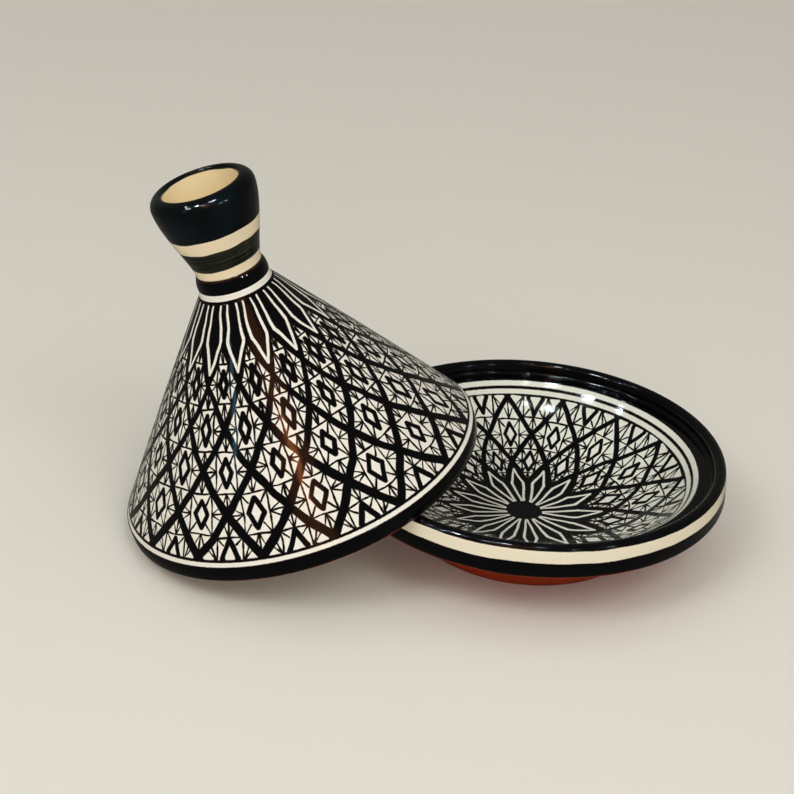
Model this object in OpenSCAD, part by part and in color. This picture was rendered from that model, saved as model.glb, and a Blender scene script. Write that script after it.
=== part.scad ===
// Tagine pot: a thrown dish with a gallery for its lid, and a conical lid
// that leans on the dish's lip with its lower edge on the table.
// Millimetres, +Z up. The origin is the centre of the dish's foot.

/* [Dish] */
// Radius over the dish's lip
dish_r = 150; // [140:0.5:162]
// Height from the table to the top of the lip
dish_h = 70.5; // [65:0.5:78]
// Thickness of the bowl's wall and floor
bowl_wall = 6; // [5:0.5:8]
// Gap between the table and the bowl's underside, inside the foot ring
bowl_clear = 2.5; // [1:0.5:4.5]
// Steepness of the bowl: higher keeps the floor flat for longer
bowl_power = 3.1; // [2.5:0.1:3.7]
// Thickness of the raised lip
lip_t = 9.5; // [8:0.5:12]
// Height of the lip above the ledge
lip_h = 10.5; // [8:0.5:12]
// Width of the ledge that carries the lid
ledge_w = 11; // [10.5:0.5:14]
// Radius of the hollow where the ledge turns up into the lip
ledge_fillet = 3; // [1:0.5:4]
// Radius of the ledge's inner edge, where the bowl begins
ledge_round = 1.5; // [0.5:0.5:3]
// Height of the rim's outside wall, from its lower edge to the top of the lip
rim_h = 26.5; // [24:0.5:32]
// How far the outside wall spreads from the lip to its lower edge
rim_flare = 1.6; // [0:0.1:3]
// Radius of the rim's lower edge
rim_round = 5; // [3:0.5:7]
// Radius of the hollow where the rim's underside runs into the bowl
under_fillet = 4; // [2:0.5:6]

/* [Foot ring] */
// Radius of the foot ring
foot_r = 93; // [80:0.5:100]
// Thickness of the foot ring
foot_w = 12; // [8:0.5:16]
// Radius of the foot ring's bottom edges
foot_round = 2; // [0.5:0.5:3.5]

/* [Lid] */
// Clearance all round between the lid's rim and the dish's lip when closed
seat_clear = 1.3; // [1:0.1:4]
// Thickness of the lid's rim
rim_t = 8.5; // [8:0.5:10]
// Radius of the lid's lower edge, inside and outside
edge_round = 3.5; // [2:0.25:3.75]
// Height of the lid's upright rim band
band_h = 13; // [9:0.5:16]
// Step from the rim band in to the foot of the cone
band_step = 0.7; // [0:0.1:1.5]
// Thickness of the cone's wall
cone_wall = 7; // [5:0.5:8.5]
// Height of the top of the cone above the lid's lower edge
cone_h = 160; // [140:0.5:180]
// Radius of the cone at its top
cone_top_r = 32.5; // [30:0.5:36]
// How far the cone bulges past a straight line at its middle
cone_bulge = 0.8; // [0:0.2:4]

/* [Neck ring] */
// Height of the curved shoulder between the cone and the neck ring
shoulder_h = 11; // [8:0.5:15]
// Radius at the top of the shoulder
shoulder_r = 27; // [25.5:0.5:29]
// Height of the neck ring
ring_h = 11; // [8:0.5:13]
// How far the neck ring bulges past its upper edge
ring_bulge = 2; // [0.6:0.1:3]
// Radius of the spigot that passes through the neck ring
spigot_r = 21; // [19:0.5:22]
// Radius of the opening through the spigot
throat_r = 12; // [9:0.5:14]

/* [Knob] */
// Radius of the knob's narrow waist
waist_r = 24.8; // [24:0.2:27]
// How far the knob rises before it flares from its waist
waist_rise = 10; // [4:0.5:16]
// Greatest radius of the knob
knob_r = 39; // [35:0.5:43]
// Height of the knob
knob_h = 65.5; // [56:0.5:74]
// How far the knob's side stays upright below its rounded lip
side_drop = 18; // [10:0.5:24]
// Radius of the knob's lip on its outer side
knob_round = 8.5; // [6:0.5:9.5]
// Radius of the knob's lip on its inner side
mouth_round = 2; // [1:0.5:3]
// Thickness of the knob's floor
knob_floor = 12; // [8:0.5:16]
// Radius at which the hollow of the knob turns from its floor to its wall
hollow_r = 17; // [12:0.5:18]

/* [Rest position] */
// How far the middle of the leaning lid's rim stands outside the dish's lip
lean_beyond = 27.75; // [20:0.25:36]
// Gap between the leaning lid and the dish's lip
touch_gap = 0.3; // [0.2:0.05:0.5]

/* [Hidden] */
$fn = 144;
BARE_CLAY = [0.66, 0.25, 0.13];
BLACK_GLAZE = [0.05, 0.06, 0.08];
CREAM_GLAZE = [0.90, 0.85, 0.73];
bowl_steps = 30;
cone_steps = 24;

// Dish
lip_round = lip_t / 2;
lip_in_r = dish_r - lip_t;
lip_mid_r = dish_r - lip_round;
lip_mid_z = dish_h - lip_round;
ledge_z = dish_h - lip_h;
bowl_r = lip_in_r - ledge_w;
floor_z = bowl_clear + bowl_wall;
rim_low_z = dish_h - rim_h;
rim_low_r = dish_r + rim_flare;

// Lid, in its own frame: its lower edge at z = 0 and its axis along Z
lid_r = lip_in_r - seat_clear;
lid_in_r = lid_r - rim_t;
inner_edge_r = lid_in_r + edge_round;
outer_edge_r = lid_r - edge_round;
cone_r = lid_r - band_step;
cone_slope = (cone_r - cone_top_r) / (cone_h - band_h);
wall_across = cone_wall * sqrt(1 + cone_slope * cone_slope);
shoulder_z = cone_h + shoulder_h;
neck_z = shoulder_z + ring_h;

// Points on an arc about (x, z), from one angle to another
function arc(x, z, r, from, to, steps = 8) =
    [for (i = [0:steps]) let (a = from + (to - from) * i / steps) [x + r * cos(a), z + r * sin(a)]];

// A cubic curve from a to d, pulled towards b and c
function curve(a, b, c, d, steps = 12) =
    [for (i = [0:steps]) let (t = i / steps, u = 1 - t)
        u * u * u * a + 3 * u * u * t * b + 3 * u * t * t * c + t * t * t * d];

// Height of the bowl's inside at radius r, and the slope there
function bowl_in(r) = floor_z + (ledge_z - floor_z) * pow(r / bowl_r, bowl_power);
function bowl_slope(r) = r <= 0 ? 0 :
    (ledge_z - floor_z) * bowl_power / bowl_r * pow(r / bowl_r, bowl_power - 1);

// The point of the bowl's outside that lies one wall below the inside at radius r
function bowl_out(r) = let (m = bowl_slope(r), k = sqrt(1 + m * m))
    [r + bowl_wall * m / k, bowl_in(r) - bowl_wall / k];

// The bowl's underside, up to the hollow below the rim
bowl_under = [for (i = [0:bowl_steps]) let (p = bowl_out(bowl_r * i / bowl_steps))
    if (p[1] < rim_low_z - under_fillet / 2) p];
under_end = bowl_under[len(bowl_under) - 1];

module bowl_outline() {
    polygon(concat(
        [for (i = [0:bowl_steps - 1]) let (r = bowl_r * i / bowl_steps) [r, bowl_in(r)]],
        arc(bowl_r + ledge_round, ledge_z - ledge_round, ledge_round, 150, 90, 4),
        arc(lip_in_r - ledge_fillet, ledge_z + ledge_fillet, ledge_fillet, -90, 0, 6),
        arc(lip_mid_r, lip_mid_z, lip_round, 180, 0, 16),
        arc(rim_low_r - rim_round, rim_low_z + rim_round, rim_round, 0, -90, 8),
        curve([under_end[0] + 2 * under_fillet, rim_low_z], [under_end[0] + under_fillet, rim_low_z],
            [under_end[0] + under_fillet, rim_low_z], under_end, 8),
        [for (i = [len(bowl_under) - 2:-1:0]) bowl_under[i]]));
}

// The bowl's underside, filled solid upwards
module bowl_blank() {
    rotate_extrude() polygon(concat(bowl_under, [[under_end[0], dish_h], [0, dish_h]]));
}

module dish_bowl() {
    color(BLACK_GLAZE) rotate_extrude() bowl_outline();
}

// The foot ring is trimmed to the curve of the bowl above it
module dish_foot_ring() {
    foot_in_r = foot_r - foot_w;
    color(BARE_CLAY) difference() {
        rotate_extrude() polygon(concat(
            arc(foot_r - foot_round, foot_round, foot_round, 0, -90, 6),
            arc(foot_in_r + foot_round, foot_round, foot_round, -90, -180, 6),
            [[foot_in_r, ledge_z], [foot_r, ledge_z]]));
        bowl_blank();
    }
}

// Rest position of the lid. Its outer lower edge stands on the table, and its inner
// lower edge, which is rounded about a circle, rests on the dish's lip.
lean_out = dish_r + lean_beyond;
function rim_z(lean) = edge_round + outer_edge_r * sin(lean);
function edge_point(lean, a) = let (reach = inner_edge_r * cos(a))
    [lean_out + reach * cos(lean), inner_edge_r * sin(a), rim_z(lean) - reach * sin(lean)];

// Distance from a point of that circle to the middle circle of the dish's lip
function lip_distance(p) = let (out = norm([p[0], p[1]]) - lip_mid_r, up = p[2] - lip_mid_z)
    out < 0 && up < 0 ? 0 : norm([out, up]);
function edge_distance(lean) = min([for (a = [60:0.5:180]) lip_distance(edge_point(lean, a))]);

// The smallest lean that keeps the edge clear of the lip, by halving
function find_lean(low, high, steps) = steps == 0 ? high : let (mid = (low + high) / 2)
    edge_distance(mid) < lip_round + edge_round + touch_gap ?
        find_lean(mid, high, steps - 1) : find_lean(low, mid, steps - 1);
lean = find_lean(2, 60, 24);
lid_x = -lean_out + edge_round * sin(lean);
lid_z = rim_z(lean) - edge_round * cos(lean);

module lid_place() {
    translate([lid_x, 0, lid_z]) rotate([0, -lean, 0]) children();
}

// Radius of the cone's outside at height z
function cone_out(z) = let (t = (z - band_h) / (cone_h - band_h))
    cone_r + (cone_top_r - cone_r) * t + cone_bulge * sin(180 * t);
function cone_z(i) = band_h + (cone_h - band_h) * i / cone_steps;

module lid_cone() {
    color(CREAM_GLAZE) lid_place() rotate_extrude() polygon(concat(
        arc(inner_edge_r, edge_round, edge_round, -180, -90, 8),
        arc(outer_edge_r, edge_round, edge_round, -90, 0, 8),
        [[lid_r, band_h - band_step]],
        [for (i = [0:cone_steps]) [cone_out(cone_z(i)), cone_z(i)]],
        curve([cone_top_r, cone_h], [cone_top_r - shoulder_h * cone_slope / 3, cone_h + shoulder_h / 3],
            [shoulder_r, shoulder_z - shoulder_h / 2], [shoulder_r, shoulder_z], 8),
        [[spigot_r, shoulder_z], [spigot_r, neck_z], [throat_r, neck_z], [throat_r, shoulder_z]],
        [for (i = [cone_steps:-1:1]) [cone_out(cone_z(i)) - wall_across, cone_z(i)]]));
}

module lid_neck_ring() {
    bulge_r = waist_r + ring_bulge;
    color(BLACK_GLAZE) lid_place() translate([0, 0, shoulder_z]) rotate_extrude() polygon(concat(
        [[spigot_r, 0]],
        curve([shoulder_r, 0], [bulge_r + ring_bulge / 3, ring_h / 3],
            [bulge_r, ring_h * 2 / 3], [waist_r, ring_h], 10),
        [[spigot_r, ring_h]]));
}

// The knob is an open cup with a closed floor over the throat
module lid_knob() {
    side_z = knob_h - knob_round;
    lip_x = knob_r - knob_round;
    mouth_r = lip_x - mouth_round;
    color(BLACK_GLAZE) lid_place() translate([0, 0, neck_z]) rotate_extrude() polygon(concat(
        [[0, 0]],
        curve([waist_r, 0], [waist_r, waist_rise], [knob_r, side_z - side_drop], [knob_r, side_z], 18),
        arc(lip_x, side_z, knob_round, 0, 90, 10),
        arc(lip_x, knob_h - mouth_round, mouth_round, 90, 180, 5),
        curve([mouth_r, knob_h - mouth_round], [mouth_r, (knob_h + knob_floor) / 3],
            [hollow_r, knob_floor], [0, knob_floor], 16)));
}

dish_bowl();
dish_foot_ring();
lid_cone();
lid_neck_ring();
lid_knob();
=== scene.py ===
import bmesh
import bpy
import math
from mathutils import Matrix, Vector


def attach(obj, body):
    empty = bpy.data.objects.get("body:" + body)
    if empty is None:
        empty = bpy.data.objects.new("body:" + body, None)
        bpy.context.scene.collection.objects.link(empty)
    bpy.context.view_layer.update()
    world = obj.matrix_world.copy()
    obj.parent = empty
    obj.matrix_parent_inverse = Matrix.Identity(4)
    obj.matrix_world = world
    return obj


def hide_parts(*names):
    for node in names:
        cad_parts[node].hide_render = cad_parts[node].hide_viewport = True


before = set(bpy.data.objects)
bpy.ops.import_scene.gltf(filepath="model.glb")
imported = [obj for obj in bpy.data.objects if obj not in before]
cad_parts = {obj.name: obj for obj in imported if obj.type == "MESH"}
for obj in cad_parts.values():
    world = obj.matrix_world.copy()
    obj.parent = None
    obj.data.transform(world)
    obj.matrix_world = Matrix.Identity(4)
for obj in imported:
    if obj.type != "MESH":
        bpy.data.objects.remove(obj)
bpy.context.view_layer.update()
scene = bpy.context.scene
scene.view_settings.view_transform = "Standard"


# ---- Camera, floor and lamps -------------------------------------------------------------
# The pot stands on a pale table, and is seen from 0.7 m above it through a long lens held
# slightly askew. Daylight and broad lamps light it, and small ones only shine in its glaze.
CAMERA_PLACE = (-0.2288, -1.1431, 0.7091)
CAMERA_PITCH = math.radians(27.534)
CAMERA_TURN = math.radians(-6.046)
CAMERA_ROLL = math.radians(3.451)
CAMERA_LENS = 77.35
MM = 0.001

camera_data = bpy.data.cameras.new("camera")
camera_data.lens = CAMERA_LENS
camera = bpy.data.objects.new("camera", camera_data)
camera.matrix_world = (
    Matrix.Translation(CAMERA_PLACE)
    @ Matrix.Rotation(CAMERA_TURN, 4, "Z")
    @ Matrix.Rotation(math.radians(90) - CAMERA_PITCH, 4, "X")
    @ Matrix.Rotation(CAMERA_ROLL, 4, "Z")
)
scene.collection.objects.link(camera)
scene.camera = camera


class Value:
    """A shader socket that can stand in a Python expression, as a number or a vector."""

    def __init__(self, finish, socket):
        self.finish = finish
        self.socket = socket

    def math(self, operation, *values, out=0):
        vector = self.socket.type in ("VECTOR", "RGBA")
        kind = "ShaderNodeVectorMath" if vector else "ShaderNodeMath"
        return self.finish.node(kind, {"operation": operation}, dict(enumerate(values)), out)

    def __add__(self, other):
        return self.math("ADD", self, other)

    def __radd__(self, other):
        return self.math("ADD", other, self)

    def __sub__(self, other):
        return self.math("SUBTRACT", self, other)

    def __rsub__(self, other):
        return self.math("SUBTRACT", other, self)

    def __mul__(self, other):
        return self.math("MULTIPLY", self, other)

    def __rmul__(self, other):
        return self.math("MULTIPLY", other, self)

    def __truediv__(self, other):
        return self.math("DIVIDE", self, other)

    def __rtruediv__(self, other):
        return self.math("DIVIDE", other, self)

    def __pow__(self, other):
        return self.math("POWER", self, other)

    def __abs__(self):
        return self.math("ABSOLUTE", self)

    def __lt__(self, other):
        return self.math("LESS_THAN", self, other)

    def __gt__(self, other):
        return self.math("GREATER_THAN", self, other)

    def least(self, other):
        return self.math("MINIMUM", self, other)

    def most(self, other):
        return self.math("MAXIMUM", self, other)

    def clamped(self):
        return self.most(0.0).least(1.0)

    def floored(self):
        return self.math("FLOOR", self)

    def cosine(self):
        return self.math("COSINE", self)

    def length(self):
        return self.math("LENGTH", self, out=1)

    def dot(self, other):
        return self.math("DOT_PRODUCT", self, other, out=1)

    def toward(self, other, share):
        """This number moved towards another by a share from 0 to 1."""
        return self + (other - self) * share


class Finish:
    """One material and its shader nodes."""

    def __init__(self, name):
        self.material = bpy.data.materials.new(name)
        self.material.use_nodes = True
        self.tree = self.material.node_tree
        self.tree.nodes.clear()

    def node(self, kind, settings, inputs, out=0):
        node = self.tree.nodes.new(kind)
        for key, setting in settings.items():
            setattr(node, key, setting)
        for key, value in inputs.items():
            if isinstance(value, Value):
                self.tree.links.new(value.socket, node.inputs[key])
            else:
                node.inputs[key].default_value = value
        return Value(self, node.outputs[out])

    def point(self, x, y, z=0.0):
        return self.node("ShaderNodeCombineXYZ", {}, {0: x, 1: y, 2: z})

    def parts(self, vector):
        return [self.node("ShaderNodeSeparateXYZ", {}, {0: vector}, out) for out in range(3)]

    def blend(self, share, first, second):
        """A colour between two others."""
        return self.node("ShaderNodeMix", {"data_type": "RGBA"}, {0: share, 6: first, 7: second}, 2)

    def grain(self, spot, scale, detail=1.0, out=0):
        """Smooth noise from 0 to 1, scale waves to the millimetre."""
        inputs = {"Vector": spot, "Scale": scale, "Detail": detail}
        return self.node("ShaderNodeTexNoise", {}, inputs, out)

    def patches(self, spot, scale, contrast, cut, detail=1.0):
        """Patches from 0 to 1. More contrast sharpens them, and a higher cut shrinks them."""
        return (self.grain(spot, scale, detail) * contrast - cut).clamped()

    def local(self, place=(0, 0, 0), turn=(0, 0, 0)):
        """The surface's place in millimetres, in a frame that stands at place."""
        spot = self.node("ShaderNodeTexCoord", {}, {}, 3)
        inputs = {"Vector": spot, "Location": place, "Rotation": turn, "Scale": (MM, MM, MM)}
        return self.node("ShaderNodeMapping", {"vector_type": "TEXTURE"}, inputs)

    def done(self, shader):
        end = self.tree.nodes.new("ShaderNodeOutputMaterial")
        self.tree.links.new(shader.socket, end.inputs["Surface"])
        return self.material


def colour(red, green, blue):
    """A screen colour from 0 to 255 a channel, in the linear light that shaders use."""
    channels = [value / 255 for value in (red, green, blue)]
    return [v / 12.92 if v < 0.04045 else ((v + 0.055) / 1.055) ** 2.4 for v in channels] + [1.0]


FLOOR_SIZE = 80.0
FLOOR_COLOUR = colour(236, 230, 220)

floor_mesh = bmesh.new()
bmesh.ops.create_grid(floor_mesh, x_segments=1, y_segments=1, size=FLOOR_SIZE / 2)
floor_data = bpy.data.meshes.new("floor")
floor_mesh.to_mesh(floor_data)
floor_mesh.free()
floor = bpy.data.objects.new("floor", floor_data)
scene.collection.objects.link(floor)
floor_finish = Finish("pale_table")
floor_shader = floor_finish.node("ShaderNodeBsdfDiffuse", {}, {"Color": FLOOR_COLOUR})
floor_data.materials.append(floor_finish.done(floor_shader))
floor.visible_glossy = False

ROOM_COLOUR = colour(240, 235, 222)
ROOM_STRENGTH = 0.18

room = bpy.data.worlds.new("soft_room")
room.use_nodes = True
room_light = room.node_tree.nodes["Background"]
room_light.inputs["Color"].default_value = ROOM_COLOUR
room_light.inputs["Strength"].default_value = ROOM_STRENGTH
scene.world = room


POT_MIDDLE = Vector((-0.08, 0.0, 0.08))
LAMP_FAR = 2.5
PALE_LIGHT = colour(251, 253, 251)
LAMP_LIGHT = colour(228, 247, 255)
WINDOW_LIGHT = colour(150, 220, 255)
WOOD_LIGHT = colour(255, 150, 84)
DAYLIGHT_FROM = (-100, 72)
DAYLIGHT_SPREAD = math.radians(120)
DAYLIGHT_STRENGTH = 1.3
SMALL_LAMPS = ((-82, 66), (-124, 54), (-148, 38), (-160, 42), (-66, 34), (-49, 33), (-178, 48))
SMALL_LAMP_SIZE = 0.035
SMALL_LAMP_WATTS = 4.9


def direction(heading, rise):
    """The direction of a heading and a rise in degrees."""
    turn = math.radians(heading)
    lift = math.radians(rise)
    level = math.cos(lift)
    return Vector((math.cos(turn) * level, math.sin(turn) * level, math.sin(lift)))


def lamp(name, heading, rise, wide, tall, watts, light, mirrored):
    """A lamp that faces the pot from a heading and a rise.

    A mirrored lamp shows in the glaze and nowhere else, and any other gives soft light alone.
    """
    data = bpy.data.lights.new(name, "AREA")
    data.shape = "RECTANGLE"
    data.size = wide
    data.size_y = tall
    data.energy = watts
    data.color = light[:3]
    piece = bpy.data.objects.new(name, data)
    piece.location = POT_MIDDLE + direction(heading, rise) * LAMP_FAR
    piece.rotation_euler = direction(heading, rise).to_track_quat("Z", "Y").to_euler()
    piece.visible_glossy = mirrored
    piece.visible_diffuse = not mirrored
    scene.collection.objects.link(piece)


sky_data = bpy.data.lights.new("diffused_daylight", "SUN")
sky_data.energy = DAYLIGHT_STRENGTH
sky_data.angle = DAYLIGHT_SPREAD
sky_data.color = PALE_LIGHT[:3]
sky = bpy.data.objects.new("diffused_daylight", sky_data)
sky.rotation_euler = direction(*DAYLIGHT_FROM).to_track_quat("Z", "Y").to_euler()
sky.visible_glossy = False
scene.collection.objects.link(sky)

lamp("left_soft_lamp", -140, 48, 1.0, 1.0, 13.0, PALE_LIGHT, mirrored=False)
lamp("right_soft_lamp", -65, 46, 1.0, 1.0, 11.0, PALE_LIGHT, mirrored=False)
lamp("low_soft_lamp", -95, 18, 1.0, 0.6, 8.0, PALE_LIGHT, mirrored=False)
lamp("long_lamp", -114, 68, 0.18, 0.06, 20.0, LAMP_LIGHT, mirrored=True)
lamp("square_lamp", -146, 53, 0.13, 0.1, 26.0, LAMP_LIGHT, mirrored=True)
lamp("wooden_wall", -104, 43, 0.8, 1.0, 3.0, WOOD_LIGHT, mirrored=True)
lamp("lit_wood", -105, 40, 0.16, 0.26, 1.4, WOOD_LIGHT, mirrored=True)
lamp("window", -146, 23, 0.07, 0.4, 0.7, WINDOW_LIGHT, mirrored=True)
for number, (heading, rise) in enumerate(SMALL_LAMPS):
    lamp(f"small_lamp_{number}", heading, rise, SMALL_LAMP_SIZE, SMALL_LAMP_SIZE,
         SMALL_LAMP_WATTS, LAMP_LIGHT, mirrored=True)


# ---- Dish --------------------------------------------------------------------------------
# A shallow bowl thrown in red earthenware, with a flat gallery inside a raised lip. It is
# dipped in a pale ground, painted black by hand inside, banded on its rim and glazed clear.
DISH_R = 150.0
DISH_H = 70.5
BOWL_WALL = 6.0
BOWL_CLEAR = 2.5
BOWL_POWER = 3.1
LIP_T = 9.5
LIP_H = 10.5
LEDGE_W = 11.0
LEDGE_FILLET = 3.0
LEDGE_ROUND = 1.5
RIM_H = 26.5
RIM_FLARE = 1.6
RIM_ROUND = 5.0
UNDER_FILLET = 4.0
BOWL_STEPS = 80
EIGHTH_STEPS = 36
WELD = 1e-6

ledge_z = DISH_H - LIP_H
lip_in_r = DISH_R - LIP_T
lip_mid_r = DISH_R - LIP_T / 2
lip_mid_z = DISH_H - LIP_T / 2
bowl_r = lip_in_r - LEDGE_W
floor_z = BOWL_CLEAR + BOWL_WALL
rim_low_z = DISH_H - RIM_H
rim_low_r = DISH_R + RIM_FLARE


def arc(x, z, radius, start, end, steps):
    """Points on an arc about (x, z), from one angle to another in degrees."""
    angles = [math.radians(start + (end - start) * i / steps) for i in range(steps + 1)]
    return [(x + radius * math.cos(angle), z + radius * math.sin(angle)) for angle in angles]


def curve(a, b, c, d, steps):
    """Points on a cubic curve from a to d, pulled towards b and c."""
    points = []
    for i in range(steps + 1):
        t = i / steps
        u = 1 - t
        shares = (u * u * u, 3 * u * u * t, 3 * u * t * t, t * t * t)
        points.append([sum(s * p[k] for s, p in zip(shares, (a, b, c, d))) for k in (0, 1)])
    return points


def in_order(mesh):
    """Lists points, edges and faces by place, as the operators' own order varies by run."""

    def corners(item):
        return sorted(vert.index for vert in item.verts)

    def place(vert):
        return vert.co[:]

    for items, key in ((mesh.verts, place), (mesh.edges, corners), (mesh.faces, corners)):
        for rank, item in enumerate(sorted(items, key=key)):
            item.index = rank
        items.sort()


def thrown(profile, closed=False):
    """The shape that a profile of (r, z) points in millimetres makes on the wheel.

    An eighth of a turn is spun, and then doubled three times.
    """
    mesh = bmesh.new()
    verts = [mesh.verts.new((r * MM, 0, z * MM)) for r, z in profile]
    edges = [mesh.edges.new(pair) for pair in zip(verts, verts[1:])]
    if closed:
        edges.append(mesh.edges.new((verts[-1], verts[0])))
    bmesh.ops.spin(mesh, geom=verts + edges, cent=(0, 0, 0), axis=(0, 0, 1),
                   angle=math.tau / 8, steps=EIGHTH_STEPS)
    for sectors in (8, 4, 2):
        copy = bmesh.ops.duplicate(mesh, geom=mesh.verts[:] + mesh.edges[:] + mesh.faces[:])
        moved = [item for item in copy["geom"] if isinstance(item, bmesh.types.BMVert)]
        turn = Matrix.Rotation(math.tau / sectors, 3, "Z")
        bmesh.ops.rotate(mesh, verts=moved, cent=(0, 0, 0), matrix=turn)
    bmesh.ops.remove_doubles(mesh, verts=mesh.verts, dist=WELD)
    bmesh.ops.recalc_face_normals(mesh, faces=mesh.faces)
    in_order(mesh)
    return mesh


def fired(name, mesh, material, body):
    """Makes a shape into the finished piece that stands for the CAD node of its name."""
    data = bpy.data.meshes.new(name)
    mesh.to_mesh(data)
    mesh.free()
    data.shade_smooth()
    data.materials.append(material)
    piece = bpy.data.objects.new("fired_" + name, data)
    scene.collection.objects.link(piece)
    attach(piece, body)
    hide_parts(name)


def bowl_inside(r):
    """Height of the bowl's inside at radius r."""
    return floor_z + (ledge_z - floor_z) * (r / bowl_r) ** BOWL_POWER


def bowl_slope(r):
    """Rise of the bowl's inside for each millimetre outwards at radius r."""
    return (ledge_z - floor_z) * BOWL_POWER / bowl_r * (r / bowl_r) ** (BOWL_POWER - 1)


def bowl_outside(r):
    """The point of the underside that lies one wall below the inside at radius r."""
    slope = bowl_slope(r)
    across = math.hypot(1, slope)
    return (r + BOWL_WALL * slope / across, bowl_inside(r) - BOWL_WALL / across)


bowl_radii = [bowl_r * i / BOWL_STEPS for i in range(BOWL_STEPS + 1)]
under = [bowl_outside(r) for r in bowl_radii]
under = [point for point in under if point[1] < rim_low_z - UNDER_FILLET / 2]
under_end = under[-1]
bowl_mesh = thrown(
    [(r, bowl_inside(r)) for r in bowl_radii[:-1]]
    + arc(bowl_r + LEDGE_ROUND, ledge_z - LEDGE_ROUND, LEDGE_ROUND, 150, 90, steps=5)
    + arc(lip_in_r - LEDGE_FILLET, ledge_z + LEDGE_FILLET, LEDGE_FILLET, -90, 0, steps=8)
    + arc(lip_mid_r, lip_mid_z, LIP_T / 2, 180, 0, steps=24)
    + arc(rim_low_r - RIM_ROUND, rim_low_z + RIM_ROUND, RIM_ROUND, 0, -90, steps=10)
    + curve((under_end[0] + 2 * UNDER_FILLET, rim_low_z), (under_end[0] + UNDER_FILLET, rim_low_z),
            (under_end[0] + UNDER_FILLET, rim_low_z), under_end, steps=8)
    + under[-2::-1]
)

# The dish's ground is a little greyer than the lid's ivory, partly its own tone and partly painted
# shade.
GROUND_WITH_SHADE = colour(231, 230, 217)
BAND_CREAM = colour(238, 226, 202)
BLACK = colour(4, 4, 6)
BROWN = colour(62, 34, 20)
SEA_BLACK = colour(7, 19, 24)
CLAY = colour(172, 62, 24)
CLAY_DARK = colour(122, 36, 14)


def ring_of(spot):
    """A place's distance from the wheel's axis, its height, and its angle in degrees."""
    x, y, z = spot.finish.parts(spot)
    angle = y.math("ARCTAN2", y, x)
    return spot.finish.point(x, y).length(), z, angle * math.degrees(1)


def stroke(spot, start, end, taper=0.0):
    """Distance from a place to a straight brush stroke, which thins out towards its end."""
    away = spot - start
    along = end - start
    share = (away.dot(along) / along.dot(along)).clamped()
    scale = {"operation": "SCALE"}
    foot = spot.finish.node("ShaderNodeVectorMath", scale, {0: along, "Scale": share})
    return (away - foot).length() + share * taper


# A diamond of the lattice: where its frame and its rays end and how far its heart strays,
# as shares of its half width and half height, and then its brush strokes in millimetres.
FRAME_SIDE = 0.42
FRAME_TOP = 0.48
RAY_END = 0.9
SIDE_RAY_X = 0.72
SIDE_RAY_Y = 0.14
TOP_RAY_X = 0.15
TOP_RAY_Y = 0.74
STRAY_X = 0.08
STRAY_Y = 0.07
FINE_LINE = 0.68
THINNING = 0.25

# The spread of the hearts' sizes, and where strokes from the frame's corners meet them, as
# shares of a heart.
HEART_CHANGE = 0.2
HEART_MEET_X = 0.8
HEART_MEET_Y = 0.7

# What changes in the diamonds that a border cuts in half.
EDGE_BOLD = 0.3
EDGE_SIDE = 0.04
EDGE_RAY_IN = 0.28
EDGE_RAY_UP = 0.31
EDGE_SIDE_RAY_UP = 0.07

# How fast the fine brush's press comes and goes, its least share of the line and its range.
PRESS_SCALE = 0.16
PRESS_LEAST = 0.3
PRESS_CHANGE = 1.5


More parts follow.
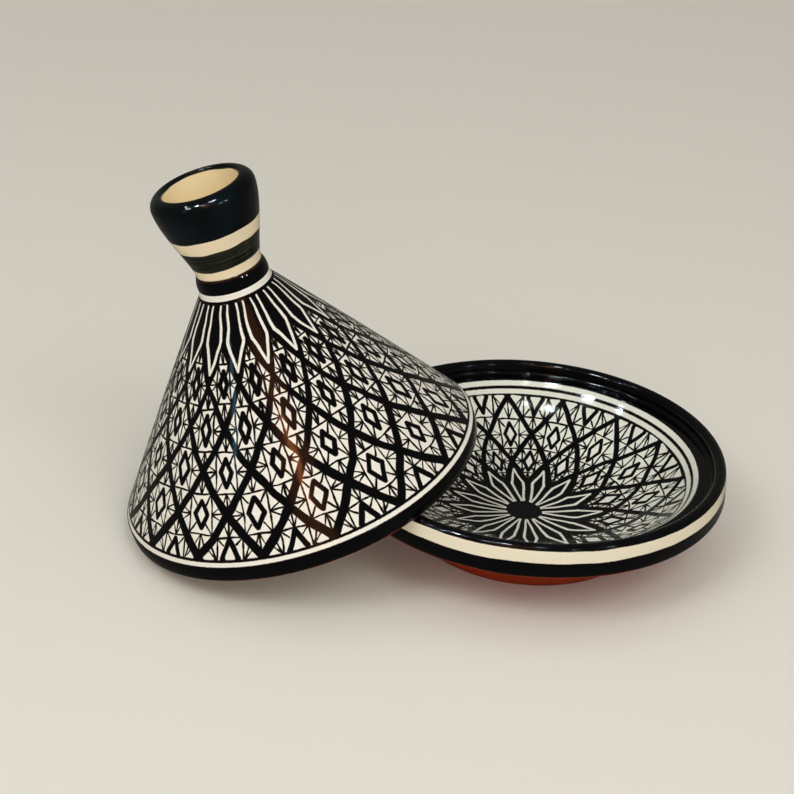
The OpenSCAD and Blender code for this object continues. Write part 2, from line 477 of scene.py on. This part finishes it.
def lattice(across, up, half_w, half_h, columns, line, line_share, bold, heart, growth, edge_row):
    """Depth of a place inside the painted lattice's lines, in millimetres.

    The broad lines cross where across and up are both even or both odd. They are line
    millimetres and line_share of a diamond wide on each side. Each diamond between them holds
    a bold heart, a small diamond, in a fine frame. A stroke joins each corner of the frame to
    the heart, and three rays run from each of its sides towards the diamond's corner.
    growth gives the rows whose hearts are wider or taller, and the diamonds of edge_row are
    cut in half by a border.
    """
    finish = across.finish
    rising = (across + up) * 0.5
    falling = (across - up) * 0.5
    rising_cell = rising.floored()
    falling_cell = falling.floored()
    rising_part = rising - rising_cell - 0.5
    falling_part = falling - falling_cell - 0.5
    row = rising_cell - falling_cell
    column = across.math("FLOORED_MODULO", rising_cell + falling_cell, columns)
    chance = finish.node("ShaderNodeTexWhiteNoise", {"noise_dimensions": "3D"},
                         {"Vector": finish.point(column, row)}, 1)
    chance_x, chance_y, chance_z = finish.parts(chance)
    edge = abs(row - edge_row) < 0.5
    plain_x = rising_part + falling_part
    plain_y = rising_part - falling_part
    x = abs(plain_x + (chance_x - 0.5) * STRAY_X)
    y = abs(plain_y + (chance_y - 0.5) * STRAY_Y * (1 - edge))
    spot = finish.point(x * half_w, y * half_h)

    def at(x_share, y_share):
        return finish.point(x_share * half_w, y_share * half_h)

    size = chance_z * HEART_CHANGE + (1 - HEART_CHANGE / 2)
    heart_w, heart_h = heart
    for grown_row, wider, taller in growth:
        here = abs(row - grown_row) < 0.5
        heart_w = here * wider + heart_w
        heart_h = here * taller + heart_h
    heart_w = heart_w * size
    heart_h = heart_h * size
    diamond = bold + edge * EDGE_BOLD - stroke(spot, at(heart_w, 0.0), at(0.0, heart_h))
    top = at(0.0, FRAME_TOP)
    shoulder = at(FRAME_SIDE, FRAME_TOP)
    side = at(FRAME_SIDE + edge * EDGE_SIDE, 0.0)
    fine = stroke(spot, at(FRAME_SIDE, 0.0), shoulder)
    for start, end, taper in (
        (top, shoulder, 0.0),
        (shoulder, at(heart_w * HEART_MEET_X, heart_h * HEART_MEET_Y), 0.0),
        (side, at(RAY_END - edge * EDGE_RAY_IN, edge * EDGE_RAY_UP), 0.0),
        (side, at(SIDE_RAY_X, edge * EDGE_SIDE_RAY_UP + SIDE_RAY_Y), THINNING),
        (top, at(0.0, RAY_END), 0.0),
        (top, at(TOP_RAY_X, TOP_RAY_Y), THINNING),
    ):
        fine = fine.least(stroke(spot, start, end, taper))
    steep = (1 / (half_w * half_w) + 1 / (half_h * half_h)) ** 0.5
    broad = line - (1 - line_share - abs(plain_x) - abs(plain_y)) / steep
    own_place = finish.point(plain_x * half_w, plain_y * half_h, row + column * 3)
    press = finish.grain(own_place, PRESS_SCALE) * PRESS_CHANGE + PRESS_LEAST
    return diamond.most(FINE_LINE * press - fine).most(broad)


def off_petal(across):
    """How far a place is from the nearest petal's middle, where 1 is midway to the next."""
    half = across * 0.5
    return abs(half - (half + 0.5).floored()) * 2


PETAL_THINNING = 0.3


def petals(across, half_w, height, points, outline):
    """Depth of a place inside the black round the petals, whose outlines stay bare.

    Petals stand where across is even. Their outline runs through points of (x, height).
    """
    finish = across.finish
    spot = finish.point(off_petal(across) * half_w, height)
    first, widest, last = [finish.point(*point) for point in points]
    inward = stroke(spot, widest, first, PETAL_THINNING)
    return inward.least(stroke(spot, widest, last, PETAL_THINNING)) - outline


# The brush's ragged edge, how sharply ink stops there, and where a thin coat shows brown.
EDGE_RAGGED = 0.5
INK_STOP = 3
INK_SPREAD = 0.7
THIN_DEPTH = 0.8
THIN_FADE = 0.9
THIN_BROWN = 0.75


def painted(finish, spot, ground, depth, pool, pool_colour):
    """The colour of a ground under black brushwork, which has thin and pooled places."""
    edge = (finish.grain(spot, scale=0.55, detail=2.0) - 0.5) * EDGE_RAGGED
    ink = ((depth + edge) * INK_STOP + INK_SPREAD).clamped()
    thin = ((THIN_DEPTH - depth) * THIN_FADE).clamped()
    thin = thin * finish.patches(spot, scale=0.12, contrast=2.6, cut=0.9)
    black = finish.blend(thin * THIN_BROWN, BLACK, BROWN)
    black = finish.blend(pool, black, pool_colour)
    return finish.blend(ink, ground, black)


def pooled(finish, spot):
    """Broad patches where the black is thick enough to take the glaze's tint."""
    return finish.patches(spot, scale=0.05, contrast=3, cut=1.9) * 0.5


# Heights in millimetres of the glaze's slow swell and fine skin and of bare clay's grit, how
# strongly they turn the light, and how rough the surfaces are.
SWELL_H = 1.4
SKIN_H = 0.07
GRIT_H = 0.35
BUMP_STRENGTH = 0.35
GLAZE_ROUGH = 0.05
SKIN_ROUGH = 0.05
CLAY_ROUGH = 0.7
GLAZE_IOR = 1.3


def glazed(finish, spot, base, bare=0.0, waviness=0.08):
    """A glossy glazed surface that turns to dull clay where bare is 1."""
    swell = finish.grain(spot, scale=0.03)
    waves = finish.grain(spot, scale=0.3)
    skin = finish.grain(spot, scale=0.9, detail=2.0)
    grit = finish.grain(spot, scale=2.4, detail=3.0)
    height = swell * SWELL_H + waves * waviness + skin * SKIN_H * (1 - bare) + grit * GRIT_H * bare
    bump = {"Strength": BUMP_STRENGTH, "Distance": MM, "Height": height}
    normal = finish.node("ShaderNodeBump", {}, bump)
    rough = GLAZE_ROUGH + skin * SKIN_ROUGH + bare * CLAY_ROUGH
    inputs = {"Base Color": base, "Roughness": rough, "Normal": normal, "IOR": GLAZE_IOR}
    return finish.done(finish.node("ShaderNodeBsdfPrincipled", {}, inputs))


# Turning marks run round a piece, so they are drawn out along its angle.
MARK_FINENESS = 0.5
MARK_TURNS = 0.004
MARK_SHARE = 0.9
DARK_CUT = 0.45


def clay_colour(finish, spot):
    """Red earthenware with darker blotches and turning marks."""
    r, z, angle = ring_of(spot)
    wheel = finish.point(r * MARK_FINENESS, z * MARK_FINENESS, angle * MARK_TURNS)
    marks = finish.grain(wheel, scale=1.0, detail=2.0)
    blotch = finish.grain(spot, scale=0.05, detail=3.0)
    share = (marks * MARK_SHARE + blotch - DARK_CUT).clamped()
    return finish.blend(share, CLAY_DARK, CLAY)


# The lattice's rows and columns, and how the painter's columns crowd on one side of the dish.
PETALS = 15
DISH_COLUMN = 180 / PETALS
DISH_ROW = 25.7
DISH_ROW_START = 68.0
FIRST_PETAL = 107.618
CROWDING = ((1, 9.19, 121.6), (2, 1.51, 209.5))
ROW_SWAY = 4
DISH_COLUMN_SWAY = 220
SWAY_LEAST_R = 12
DISH_LINE = 2.15
DISH_BOLD = 1.5
DISH_HEART = (0.24, 0.345)
DISH_GROWTH = ((0, 0.11, 0.06), (2, 0.0, 0.06))
DISH_EDGE_ROW = 2

# The star in the middle, which isn't quite on the wheel's axis, and the rings round it.
STAR_PLACE = (-0.9 * MM, 2.6 * MM, 0)
STAR_R = 20
STAR_FADE = 40
STAR_PETAL = ((0.5, 13.5), (4.9, 42.0), (0.0, 59.5))
STAR_OUTLINE = 1.15
HUB_R = 13.7
LATTICE_R = 120.2
PALE_RINGS = ((121.5, 124.4), (126.1, 129.6))

# The outside's black band, its lower edge of bare clay, and the lip's wavier glaze.
OUTSIDE_R = 146.5
OUTSIDE_TOP = 68
BAND_LOW = 57.5
BAND_TOP = 67.2
BAND_WAVE = 1.6
CLAY_LINE = 46.3
CLAY_WAVE = 3.0
LIP_START = 130
LIP_WAVES = 0.06
BOWL_WAVES = 0.1

dish_finish = Finish("painted_dish")
spot = dish_finish.local()
sway_x, sway_y, sway_z = dish_finish.parts(dish_finish.grain(spot, scale=0.04, out=1))
star_r = ring_of(dish_finish.local(STAR_PLACE))[0]
r, z, angle = ring_of(spot)
plan = star_r.toward(r, ((r - STAR_R) / STAR_FADE).clamped()) + (sway_y - 0.5) * ROW_SWAY
turn = angle * math.radians(1)
turned = angle + FIRST_PETAL
for times, degrees, start in CROWDING:
    turned = turned + degrees * (turn * times + math.radians(start)).cosine()
turned = turned + (sway_x - 0.5) * DISH_COLUMN_SWAY / r.most(SWAY_LEAST_R)
across = turned / DISH_COLUMN
up = (plan - DISH_ROW_START) / DISH_ROW
slope = bowl_slope(plan.most(0.0).least(bowl_r))
half_w = plan * math.radians(DISH_COLUMN)
half_h = DISH_ROW * (1 + slope * slope) ** 0.5
weave = lattice(across, up, half_w, half_h, columns=2 * PETALS, line=DISH_LINE, line_share=0.0,
                bold=DISH_BOLD, heart=DISH_HEART, growth=DISH_GROWTH, edge_row=DISH_EDGE_ROW)
star = petals(across, half_w, plan, STAR_PETAL, STAR_OUTLINE).most(HUB_R - plan)
inner = (up + off_petal(across)) < 0
depth = weave.toward(star, inner).most(plan - LATTICE_R)
for ring_in_r, ring_out_r in PALE_RINGS:
    depth = depth.least((ring_in_r - r).most(r - ring_out_r))
outside = (r > OUTSIDE_R) * (z < OUTSIDE_TOP)
band_wave = (sway_z - 0.5) * BAND_WAVE
band = (BAND_LOW + band_wave - z).most(z - BAND_TOP - band_wave)
depth = depth.toward(band, outside)
clay_line = CLAY_LINE + (sway_x - 0.5) * CLAY_WAVE
bare = z < clay_line.least(bowl_inside(r) - BOWL_WALL / 2)
# Inside, the ground carries that painted shade; outside it is the band's cream.
ground = dish_finish.blend(outside, GROUND_WITH_SHADE, BAND_CREAM)
paint = painted(dish_finish, spot, ground, depth, pooled(dish_finish, spot), SEA_BLACK)
base = dish_finish.blend(bare, paint, clay_colour(dish_finish, spot))
waviness = (r > LIP_START) * LIP_WAVES + BOWL_WAVES
fired("dish_bowl", bowl_mesh, glazed(dish_finish, spot, base, bare, waviness), "dish")


# ---- Foot ring ---------------------------------------------------------------------------
# A ring of the same red clay, luted under the bowl while it was leather-hard and turned
# true on the wheel. It is left bare so that it doesn't stick to the kiln shelf.
FOOT_R = 93.0
FOOT_W = 12.0
FOOT_ROUND = 2.0
FOOT_BITE = 0.2
FOOT_STEPS = 6

foot_in_r = FOOT_R - FOOT_W
foot_radii = [FOOT_R - FOOT_W * i / FOOT_STEPS for i in range(FOOT_STEPS + 1)]


def under_height(r):
    """Height of the bowl's underside at radius r, between the points worked out above."""
    for low, high in zip(under, under[1:]):
        if low[0] <= r <= high[0]:
            return low[1] + (high[1] - low[1]) * (r - low[0]) / (high[0] - low[0])


foot_mesh = thrown(
    arc(FOOT_R - FOOT_ROUND, FOOT_ROUND, FOOT_ROUND, 0, -90, steps=6)
    + arc(foot_in_r + FOOT_ROUND, FOOT_ROUND, FOOT_ROUND, -90, -180, steps=6)
    + [(r, under_height(r) + FOOT_BITE) for r in reversed(foot_radii)],
    closed=True,
)
foot_finish = Finish("bare_red_clay")
spot = foot_finish.local()
foot_material = glazed(foot_finish, spot, clay_colour(foot_finish, spot), bare=1.0)
fired("dish_foot_ring", foot_mesh, foot_material, "dish")


# ---- Lid cone ----------------------------------------------------------------------------
# A hollow cone thrown in one pull, with a thicker upright rim that sits in the gallery. It
# is dipped in ivory ground and painted with a brush, all but the rim's clay lower edge.
SEAT_CLEAR = 1.3
RIM_T = 8.5
EDGE_ROUND = 3.5
BAND_H = 13.0
BAND_STEP = 0.7
CONE_WALL = 7.0
CONE_H = 160.0
CONE_TOP_R = 32.5
CONE_BULGE = 0.8
CONE_STEPS = 70
FINGER_MARK = 0.3
SHOULDER_H = 11.0
SHOULDER_R = 27.0
RING_H = 11.0
SPIGOT_R = 21.0
THROAT_R = 12.0

lid_r = lip_in_r - SEAT_CLEAR
lid_in_r = lid_r - RIM_T
cone_r = lid_r - BAND_STEP
cone_slope = (cone_r - CONE_TOP_R) / (CONE_H - BAND_H)
wall_across = CONE_WALL * math.hypot(1, cone_slope)
shoulder_z = CONE_H + SHOULDER_H
neck_z = shoulder_z + RING_H


def middle(node):
    """The middle of a CAD node's surface, which lies on the axis of a thrown piece."""
    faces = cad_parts[node].data.polygons
    return sum((face.center * face.area for face in faces), Vector()) / sum(f.area for f in faces)


lid_axis = (middle("lid_knob") - middle("lid_cone")).normalized()
lid_lean = math.atan2(-lid_axis.x, lid_axis.z)
lid_low = min(vert.co.dot(lid_axis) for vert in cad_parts["lid_cone"].data.vertices)
lid_foot = middle("lid_cone") + lid_axis * (lid_low - middle("lid_cone").dot(lid_axis))
lid_place = Matrix.Translation(lid_foot) @ Matrix.Rotation(-lid_lean, 4, "Y")


def cone_out(z):
    """Radius of the cone's outside at height z."""
    t = (z - BAND_H) / (CONE_H - BAND_H)
    return cone_r + (CONE_TOP_R - cone_r) * t + CONE_BULGE * math.sin(math.pi * t)


cone_heights = [BAND_H + (CONE_H - BAND_H) * i / CONE_STEPS for i in range(CONE_STEPS + 1)]
cone_mesh = thrown(
    arc(lid_in_r + EDGE_ROUND, EDGE_ROUND, EDGE_ROUND, -180, -90, steps=8)
    + arc(lid_r - EDGE_ROUND, EDGE_ROUND, EDGE_ROUND, -90, 0, steps=8)
    + [(lid_r, BAND_H - BAND_STEP)]
    + [(cone_out(z), z) for z in cone_heights]
    + curve((CONE_TOP_R, CONE_H),
            (CONE_TOP_R - SHOULDER_H * cone_slope / 3, CONE_H + SHOULDER_H / 3),
            (SHOULDER_R, shoulder_z - SHOULDER_H / 2), (SHOULDER_R, shoulder_z), steps=8)[1:]
    + [(SPIGOT_R, shoulder_z), (SPIGOT_R, neck_z), (THROAT_R, neck_z), (THROAT_R, shoulder_z)]
    + [(cone_out(z) - wall_across + FINGER_MARK * math.sin(z), z) for z in cone_heights[:0:-1]],
    closed=True,
)
cone_mesh.transform(lid_place)

# The lattice's rows and columns. The cone slants, so a row is longer along it than upright.
IVORY = colour(238, 231, 219)
LID_PETALS = 16
LID_COLUMN = 180 / LID_PETALS
FIRST_COLUMN = 102.0
LID_COLUMN_SWAY = 210
LID_ROW = 25.05
LID_ROW_START = 17.8
SLANT = 1.233
LID_LINE_SHARE = 0.165
LID_BOLD = 1.85
LID_HEART = (0.245, 0.33)
LID_GROWTH = ((0, 0.0, 0.07),)
LID_EDGE_ROW = 0
TOP_ROW = 4

# The petals under the neck, as shares of a column at three heights, and how they swirl.
PETAL_START = 122.0
PETAL_WIDEST = 142.0
PETAL_END = 164.0
PETAL_SWIRL = 4.8
NECK_PETAL = ((0.0, 125.0), (0.66, PETAL_WIDEST), (0.47, 166.0))
NECK_OUTLINE = 1.25
NECK_OUTLINE_LOSS = 0.3

# Heights of the lattice's lower end, the pale line in the black rim, and the neck's black line.
LATTICE_LOW = 17.4
RIM_LINE_LOW = 13.1
RIM_LINE_TOP = 15.7
NECK_LINE_LOW = 164.4
NECK_LINE_TOP = 166.6

# The inside's plain glaze, and the bare clay of the lower edge.
INSIDE_CREAM = colour(226, 208, 170)
INSIDE_DEPTH = 4
NO_INK = -5.0
LID_CLAY_LINE = 1.4
LID_CLAY_WAVE = 2


def lid_spot(finish):
    """A place on the lid, in millimetres in the frame of the lid's own axis and foot."""
    return finish.local(lid_foot, (0, -lid_lean, 0))


lid_finish = Finish("painted_lid")
spot = lid_spot(lid_finish)
r, z, angle = ring_of(spot)
sway_x, sway_y, sway_z = lid_finish.parts(lid_finish.grain(spot, scale=0.045, out=1))
turned = angle + FIRST_COLUMN + (sway_x - 0.5) * LID_COLUMN_SWAY / r
height = z + (sway_y - 0.5) * ROW_SWAY
across = turned / LID_COLUMN
up = (height - LID_ROW_START) / LID_ROW
half_w = r * math.radians(LID_COLUMN)
weave = lattice(across, up, half_w, LID_ROW * SLANT, columns=2 * LID_PETALS,
                line=0.0, line_share=LID_LINE_SHARE, bold=LID_BOLD,
                heart=LID_HEART, growth=LID_GROWTH, edge_row=LID_EDGE_ROW)
swirl = ((z - PETAL_START) / (PETAL_END - PETAL_START)).clamped()
petal_across = across - PETAL_SWIRL / LID_COLUMN * swirl
petal_points = []
for share, petal_z in NECK_PETAL:
    petal_x = share * math.radians(LID_COLUMN) * cone_out(min(petal_z, CONE_H))
    petal_points.append((petal_x, petal_z * SLANT))
rise = ((z - PETAL_WIDEST) / (PETAL_END - PETAL_WIDEST)).clamped()
outline = NECK_OUTLINE - rise * NECK_OUTLINE_LOSS
crown = petals(petal_across, half_w, height * SLANT, petal_points, outline)
above = (up - off_petal(across)) > TOP_ROW
depth = weave.toward(crown, above).most(LATTICE_LOW - z)
depth = depth.least((RIM_LINE_LOW - z).most(z - RIM_LINE_TOP))
depth = depth.most(z - NECK_LINE_LOW).least(NECK_LINE_TOP - z)
hidden = r < (cone_r - INSIDE_DEPTH - cone_slope * (z - BAND_H).most(0.0))
depth = depth.toward(NO_INK, hidden)
bare = z < (LID_CLAY_LINE + (sway_z - 0.5) * LID_CLAY_WAVE)
ground = lid_finish.blend(hidden, IVORY, INSIDE_CREAM)
paint = painted(lid_finish, spot, ground, depth, pooled(lid_finish, spot), SEA_BLACK)
base = lid_finish.blend(bare, paint, clay_colour(lid_finish, spot))
fired("lid_cone", cone_mesh, glazed(lid_finish, spot, base, bare), "lid")


# ---- Neck ring ---------------------------------------------------------------------------
# A coil of clay pressed round the spigot and smoothed with a wet finger, so that it bulges
# between the cone and the knob. It is glazed black.
WAIST_R = 24.8
RING_BULGE = 2.0
BROWN_DROP = 1.4
BROWN_SHARE = 0.6

bulge_r = WAIST_R + RING_BULGE
ring_mesh = thrown(
    curve((SHOULDER_R, shoulder_z), (bulge_r + RING_BULGE / 3, shoulder_z + RING_H / 3),
          (bulge_r, shoulder_z + RING_H * 2 / 3), (WAIST_R, neck_z), steps=16)
    + [(SPIGOT_R, neck_z), (SPIGOT_R, shoulder_z)],
    closed=True,
)
ring_mesh.transform(lid_place)
ring_finish = Finish("black_neck_ring")
spot = lid_spot(ring_finish)
z = ring_finish.parts(spot)[2]
# Patches near the ring's top are browner than the rest of its black.
top_brown = z - (neck_z - BROWN_DROP) + ring_finish.grain(spot, scale=0.25, detail=2.0)
base = ring_finish.blend(top_brown.clamped() * BROWN_SHARE, BLACK, BROWN)
fired("lid_neck_ring", ring_mesh, glazed(ring_finish, spot, base), "lid")


# ---- Knob --------------------------------------------------------------------------------
# A cup-shaped knob with a thick rounded lip, thrown apart and luted to the neck. It keeps
# cool to the hand. It is dipped in cream and banded black on the wheel.
WAIST_RISE = 10.0
KNOB_R = 39.0
KNOB_H = 65.5
SIDE_DROP = 18.0
KNOB_ROUND = 8.5
MOUTH_ROUND = 2.0
KNOB_FLOOR = 12.0
HOLLOW_R = 17.0

side_z = neck_z + KNOB_H - KNOB_ROUND
lip_x = KNOB_R - KNOB_ROUND
mouth_r = lip_x - MOUTH_ROUND
mouth_z = neck_z + KNOB_H - MOUTH_ROUND
cup_z = neck_z + KNOB_FLOOR
knob_mesh = thrown(
    [(0.0, neck_z)]
    + curve((WAIST_R, neck_z), (WAIST_R, neck_z + WAIST_RISE), (KNOB_R, side_z - SIDE_DROP),
            (KNOB_R, side_z), steps=40)
    + arc(lip_x, side_z, KNOB_ROUND, 0, 90, steps=16)[1:]
    + arc(lip_x, mouth_z, MOUTH_ROUND, 90, 180, steps=6)[1:]
    + curve((mouth_r, mouth_z), (mouth_r, neck_z + (KNOB_H + KNOB_FLOOR) / 3), (HOLLOW_R, cup_z),
            (0.0, cup_z), steps=32)[1:],
)
knob_mesh.transform(lid_place)

# The waist's black band, the black top, and the black that runs over the lip into the cup.
CREAM = colour(243, 224, 192)
CUP_CREAM = colour(242, 222, 180)
# The olive is a painted reflection, tinting the thin streaks on the waist's lower band.
OLIVE_SHEEN = colour(66, 68, 50)
WAIST_BAND_LOW = 189.4
WAIST_BAND_TOP = 205.6
TOP_BAND_LOW = 216.2
CUP_BAND_LOW = 245.0
BAND_SWAY = 2.4

# Where the cup's inside begins. It widens from the waist up.
CUP_BITE = 0.5
CUP_R = 26.5
CUP_FLARE = 3.5
CUP_FLARE_LOW = 205
CUP_FLARE_H = 20

# Streaks where the waist's band is thin, the height below which they are tinted olive as a
# painted reflection, and the waves in the knob's glaze.
STREAK_LOW = 187
STREAK_TOP = 207
STREAK_TURNS = 0.01
STREAK_FINENESS = 0.8
STREAK_SHARE = 0.8
OLIVE_SHEEN_TOP = 210
KNOB_WAVES = 0.3

knob_finish = Finish("banded_knob")
spot = lid_spot(knob_finish)
r, z, angle = ring_of(spot)
level = z + (knob_finish.grain(spot, scale=0.05) - 0.5) * BAND_SWAY
cup_r = CUP_R + ((z - CUP_FLARE_LOW) / CUP_FLARE_H).clamped() * CUP_FLARE
hollow = (z > cup_z - CUP_BITE) * (r < cup_r)
depth = (level - WAIST_BAND_LOW).least(WAIST_BAND_TOP - level).most(level - TOP_BAND_LOW)
depth = depth.toward(level - CUP_BAND_LOW, hollow)
# The streaks on the waist's band are partly thin black and, below the olive height, partly a
# painted reflection.
wheel = knob_finish.point(angle * STREAK_TURNS, z * STREAK_FINENESS)
streaks_and_sheen = knob_finish.patches(wheel, scale=1.0, contrast=2.4, cut=0.9, detail=3.0)
thin = (level > STREAK_LOW) * (level < STREAK_TOP) * streaks_and_sheen
low = level < OLIVE_SHEEN_TOP
ground = knob_finish.blend(hollow, CREAM, CUP_CREAM)
pool_and_sheen_tint = knob_finish.blend(low, SEA_BLACK, OLIVE_SHEEN)
pool = knob_finish.patches(spot, scale=0.03, contrast=3, cut=1).toward(thin * STREAK_SHARE, low)
paint = painted(knob_finish, spot, ground, depth, pool, pool_and_sheen_tint)
knob_material = glazed(knob_finish, spot, paint, waviness=KNOB_WAVES)
fired("lid_knob", knob_mesh, knob_material, "lid")
